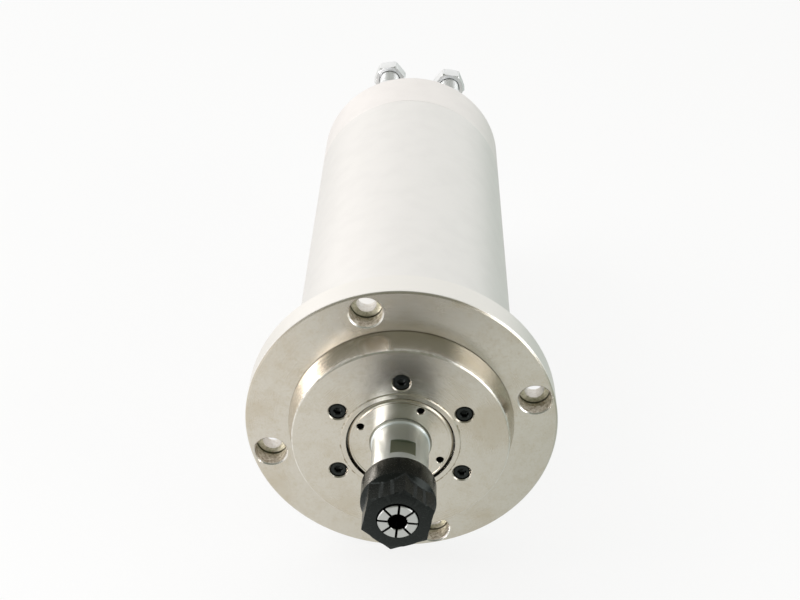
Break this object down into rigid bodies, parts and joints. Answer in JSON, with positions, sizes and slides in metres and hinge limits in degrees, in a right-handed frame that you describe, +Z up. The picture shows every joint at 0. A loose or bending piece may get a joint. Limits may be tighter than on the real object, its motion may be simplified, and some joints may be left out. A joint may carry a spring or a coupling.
{
  "type": "motor spindle",
  "caption": "Water-cooled motor spindle: round tube body with a bolting flange, bolted front cover, shaft nose with collet chuck, rear cap with two hose fittings and a power socket.",
  "frame": {"origin": "centre of the flange's rear mounting face", "axes": "+Y along the spindle axis towards the rear cap, the nose towards -Y; +Z up, towards the side with the two hose fittings; +X to the right seen from the nose"},
  "size_m": [0.1064, 0.2973, 0.1064],
  "materials": {
    "turned_nickel": "fine turned, nickel plated",
    "satin_tube": "satin ground tube",
    "satin_cap": "satin anodised",
    "black_oxide": "black oxide",
    "ground_steel": "ground and polished",
    "collet_steel": "fine ground",
    "bearing_steel": "ground",
    "jacket_aluminium": "turned",
    "lamination": "stacked laminations",
    "winding_copper": "varnished copper",
    "seal_rubber": "smooth",
    "brass": "turned",
    "plated_fitting": "nickel plated brass",
    "socket_insulator": "moulded",
    "lead_sleeve": "glass fibre sleeve"
  },
  "bodies": {
    "housing": {"bearing_retainer": "ground_steel", "flange_housing": "turned_nickel", "front_bearing_1_outer_ring": "bearing_steel", "front_bearing_2_outer_ring": "bearing_steel", "front_cover": "turned_nickel", "front_cover_screws": "black_oxide", "front_jacket_seal": "seal_rubber", "front_outer_spacer": "bearing_steel", "inlet_fitting": "plated_fitting", "inlet_transfer_tube": "brass", "lead_harness": "lead_sleeve", "outer_tube": "satin_tube", "outlet_fitting": "plated_fitting", "outlet_transfer_tube": "brass", "power_socket_insert": "socket_insulator", "power_socket_nut": "plated_fitting", "power_socket_pins": "brass", "power_socket_shell": "plated_fitting", "preload_spring": "black_oxide", "rear_bearing_1_outer_ring": "bearing_steel", "rear_bearing_2_outer_ring": "bearing_steel", "rear_bearing_housing": "ground_steel", "rear_cap": "satin_cap", "rear_cap_screws": "black_oxide", "rear_jacket_seal": "seal_rubber", "rear_outer_spacer": "bearing_steel", "retainer_screws": "black_oxide", "stator_core": "lamination", "stator_winding": "winding_copper", "water_jacket": "jacket_aluminium"},
    "shaft": {"front_balance_ring": "brass", "front_bearing_1_inner_ring": "bearing_steel", "front_bearing_2_inner_ring": "bearing_steel", "front_inner_spacer": "bearing_steel", "lock_ring": "ground_steel", "rear_balance_ring": "brass", "rear_bearing_1_inner_ring": "bearing_steel", "rear_bearing_2_inner_ring": "bearing_steel", "rear_inner_spacer": "bearing_steel", "rear_locknut": "ground_steel", "rotor_cage": "jacket_aluminium", "rotor_core": "lamination", "shaft": "ground_steel"},
    "front_balls": {"front_bearing_1_balls": "bearing_steel", "front_bearing_2_balls": "bearing_steel"},
    "rear_balls": {"rear_bearing_1_balls": "bearing_steel", "rear_bearing_2_balls": "bearing_steel"},
    "collet": {"collet": "collet_steel"},
    "collet_nut": {"collet_nut": "black_oxide"},
    "inlet_clamp_ring": {"inlet_clamp_ring": "brass"},
    "inlet_union_nut": {"inlet_union_nut": "plated_fitting"},
    "outlet_clamp_ring": {"outlet_clamp_ring": "brass"},
    "outlet_union_nut": {"outlet_union_nut": "plated_fitting"}
  },
  "joints": [
    {"name": "spindle_spin", "type": "hinge", "parent": "housing", "child": "shaft", "pos_m": [0, 0, 0], "axis": [0, 1, 0], "continuous": true},
    {"name": "front_balls_spin", "type": "hinge", "parent": "housing", "child": "front_balls", "pos_m": [0, 0, 0], "axis": [0, 1, 0], "continuous": true},
    {"name": "rear_balls_spin", "type": "hinge", "parent": "housing", "child": "rear_balls", "pos_m": [0, 0.157, 0], "axis": [0, 1, 0], "continuous": true},
    {"name": "collet_slide", "type": "slide", "parent": "shaft", "child": "collet", "axis": [0, -1, 0], "range_m": [0, 0.007]},
    {"name": "collet_nut_turn", "type": "hinge", "parent": "collet", "child": "collet_nut", "pos_m": [0, -0.052, 0], "axis": [0, -1, 0], "range_deg": [0, 2520]},
    {"name": "inlet_ring_slide", "type": "slide", "parent": "housing", "child": "inlet_clamp_ring", "axis": [0, 1, 0], "range_m": [0, 0.0035]},
    {"name": "inlet_nut_turn", "type": "hinge", "parent": "inlet_clamp_ring", "child": "inlet_union_nut", "pos_m": [-0.01086, 0.227, 0.02904], "axis": [0, 1, 0], "range_deg": [0, 1260]},
    {"name": "outlet_ring_slide", "type": "slide", "parent": "housing", "child": "outlet_clamp_ring", "axis": [0, 1, 0], "range_m": [0, 0.0035]},
    {"name": "outlet_nut_turn", "type": "hinge", "parent": "outlet_clamp_ring", "child": "outlet_union_nut", "pos_m": [0.01716, 0.227, 0.02582], "axis": [0, 1, 0], "range_deg": [0, 1260]}
  ],
  "couplings": [
    {"joint": "front_balls_spin", "follows": "spindle_spin", "ratio": 0.4018},
    {"joint": "rear_balls_spin", "follows": "spindle_spin", "ratio": 0.4051},
    {"joint": "collet_slide", "follows": "collet_nut_turn", "m_per_rad": 0.00015915},
    {"joint": "inlet_ring_slide", "follows": "inlet_nut_turn", "m_per_rad": 0.00015915},
    {"joint": "outlet_ring_slide", "follows": "outlet_nut_turn", "m_per_rad": 0.00015915}
  ]
}
